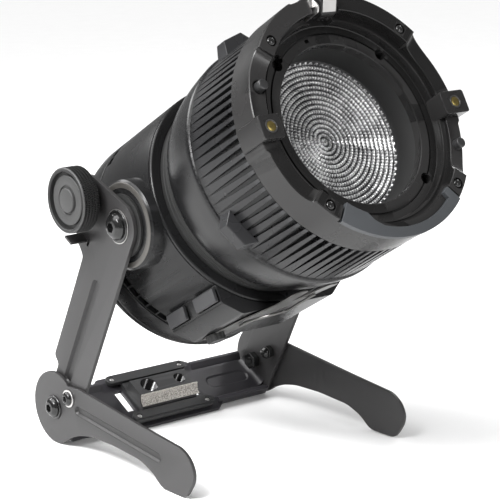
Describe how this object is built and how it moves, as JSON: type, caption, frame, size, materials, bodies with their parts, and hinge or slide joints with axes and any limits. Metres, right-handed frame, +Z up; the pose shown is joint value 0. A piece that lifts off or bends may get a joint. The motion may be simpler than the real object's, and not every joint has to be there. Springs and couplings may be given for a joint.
{
  "type": "stage spotlight",
  "caption": "Round-bodied zoom spotlight with a pebbled lens, tilting in a sheet-metal yoke that stands on folding legs.",
  "frame": {"origin": "centre of the underside face of the yoke's crossbar, between its two mounting holes", "axes": "+Z up as the stand rests on the floor, the beam leaves towards -Y and upwards, +X to the right seen from behind"},
  "size_m": [0.2365, 0.3278, 0.367],
  "materials": {
    "housing_black": "fine satin black paint",
    "ring_black": "moulded black, satin",
    "steel_grey": "fine-textured dark grey powder coat",
    "disc_grey": "machined, lightly bead-blasted",
    "fastener_black": "black oxide, polished",
    "matt_black": "anti-glare matt black",
    "rubber": "moulded black",
    "gold": "gold-plated contact",
    "glass": "pebbled, concentric steps",
    "bare_aluminium": "bare metal",
    "circuit_green": "solder mask",
    "led_yellow": "phosphor-covered emitter on its base",
    "grip_grey": "speckled, textured",
    "battery_grey": "shrink-wrapped cells",
    "display": "smoked window"
  },
  "bodies": {
    "yoke": {"yoke_frame": "steel_grey", "mount_block": "housing_black", "grip_pad": "grip_grey", "rail_front": "housing_black", "rail_rear": "housing_black", "pivot_bolt_left": "fastener_black", "pivot_bolt_right": "fastener_black", "friction_disc_left": "rubber", "friction_disc_right": "rubber", "hub_bolt_left": "fastener_black", "hub_bolt_right": "fastener_black", "hub_nut_left": "fastener_black", "hub_nut_right": "fastener_black", "brake_shoe": "bare_aluminium"},
    "knob": {"tilt_knob": "rubber", "knob_stud": "fastener_black"},
    "leg_left": {"leg_left": "steel_grey", "lock_bolt_left": "fastener_black", "lock_nut_left": "fastener_black"},
    "leg_right": {"leg_right": "steel_grey", "lock_bolt_right": "fastener_black", "lock_nut_right": "fastener_black"},
    "head": {"head_shell": "housing_black", "rear_cover": "housing_black", "tilt_disc_left": "disc_grey", "tilt_disc_right": "disc_grey", "guide_tube": "matt_black", "bezel_ring": "housing_black", "front_deck": "housing_black", "retaining_plate": "steel_grey", "contact_left": "gold", "contact_right": "gold", "guide_peg_left": "fastener_black", "guide_peg_right": "fastener_black", "lens": "glass", "lens_cell": "matt_black", "baffle_cone": "matt_black", "guide_rod_left": "bare_aluminium", "guide_rod_right": "bare_aluminium", "battery_pack": "battery_grey", "driver_board": "circuit_green", "control_panel": "matt_black", "display_window": "display", "power_inlet": "fastener_black", "under_bracket": "housing_black", "side_pad_front": "rubber", "side_pad_rear": "rubber", "spring_clip": "bare_aluminium"},
    "light_engine": {"carriage": "bare_aluminium", "led_module": "led_yellow", "heat_sink": "bare_aluminium"},
    "zoom_ring": {"zoom_ring": "ring_black", "zoom_tab_1": "ring_black", "zoom_tab_2": "ring_black"},
    "latch": {"front_latch": "housing_black"},
    "thumb_screw": {"thumb_screw": "rubber"},
    "menu_dial": {"menu_dial": "rubber"},
    "button_a": {"button_a": "rubber"},
    "button_b": {"button_b": "rubber"},
    "power_button": {"power_button": "rubber"}
  },
  "joints": [
    {"name": "tilt", "type": "hinge", "parent": "yoke", "child": "head", "pos_m": [0, -0.09818, 0.17424], "axis": [-1, 0, 0], "range_deg": [-59, 54.5]},
    {"name": "knob_turn", "type": "hinge", "parent": "yoke", "child": "knob", "pos_m": [-0.1032, -0.06186, 0.19126], "axis": [-1, 0, 0], "range_deg": [0, 270]},
    {"name": "leg_left_fold", "type": "hinge", "parent": "yoke", "child": "leg_left", "pos_m": [0, -0.00805, 0.01429], "axis": [-1, 0, 0], "range_deg": [0, 50]},
    {"name": "leg_right_fold", "type": "hinge", "parent": "yoke", "child": "leg_right", "pos_m": [0, -0.00805, 0.01429], "axis": [-1, 0, 0], "range_deg": [0, 50]},
    {"name": "zoom_turn", "type": "hinge", "parent": "head", "child": "zoom_ring", "pos_m": [0, -0.09818, 0.17424], "axis": [0, -0.8678, 0.497], "range_deg": [0, 60]},
    {"name": "zoom_slide", "type": "slide", "parent": "head", "child": "light_engine", "axis": [0, -0.8678, 0.497], "range_m": [0, 0.05]},
    {"name": "latch_lift", "type": "slide", "parent": "head", "child": "latch", "axis": [0, 0.497, 0.8678], "range_m": [0, 0.006], "stiffness_N_per_m": 400, "springref_m": -0.005},
    {"name": "thumb_screw_turn", "type": "hinge", "parent": "head", "child": "thumb_screw", "pos_m": [-0.036, -0.12595, 0.08551], "axis": [0, -0.497, -0.8678], "range_deg": [0, 360]},
    {"name": "dial_turn", "type": "hinge", "parent": "head", "child": "menu_dial", "pos_m": [0.024, -0.02459, 0.14478], "axis": [0, 0.8678, -0.497], "continuous": true},
    {"name": "button_a_press", "type": "slide", "parent": "head", "child": "button_a", "axis": [0, -0.8678, 0.497], "range_m": [0, 0.0015], "stiffness_N_per_m": 500, "springref_m": -0.002},
    {"name": "button_b_press", "type": "slide", "parent": "head", "child": "button_b", "axis": [0, -0.8678, 0.497], "range_m": [0, 0.0015], "stiffness_N_per_m": 500, "springref_m": -0.002},
    {"name": "power_button_press", "type": "slide", "parent": "head", "child": "power_button", "axis": [0, -0.8678, 0.497], "range_m": [0, 0.0015], "stiffness_N_per_m": 500, "springref_m": -0.002}
  ],
  "couplings": [
    {"joint": "zoom_slide", "follows": "zoom_turn", "m_per_rad": 0.0477}
  ]
}
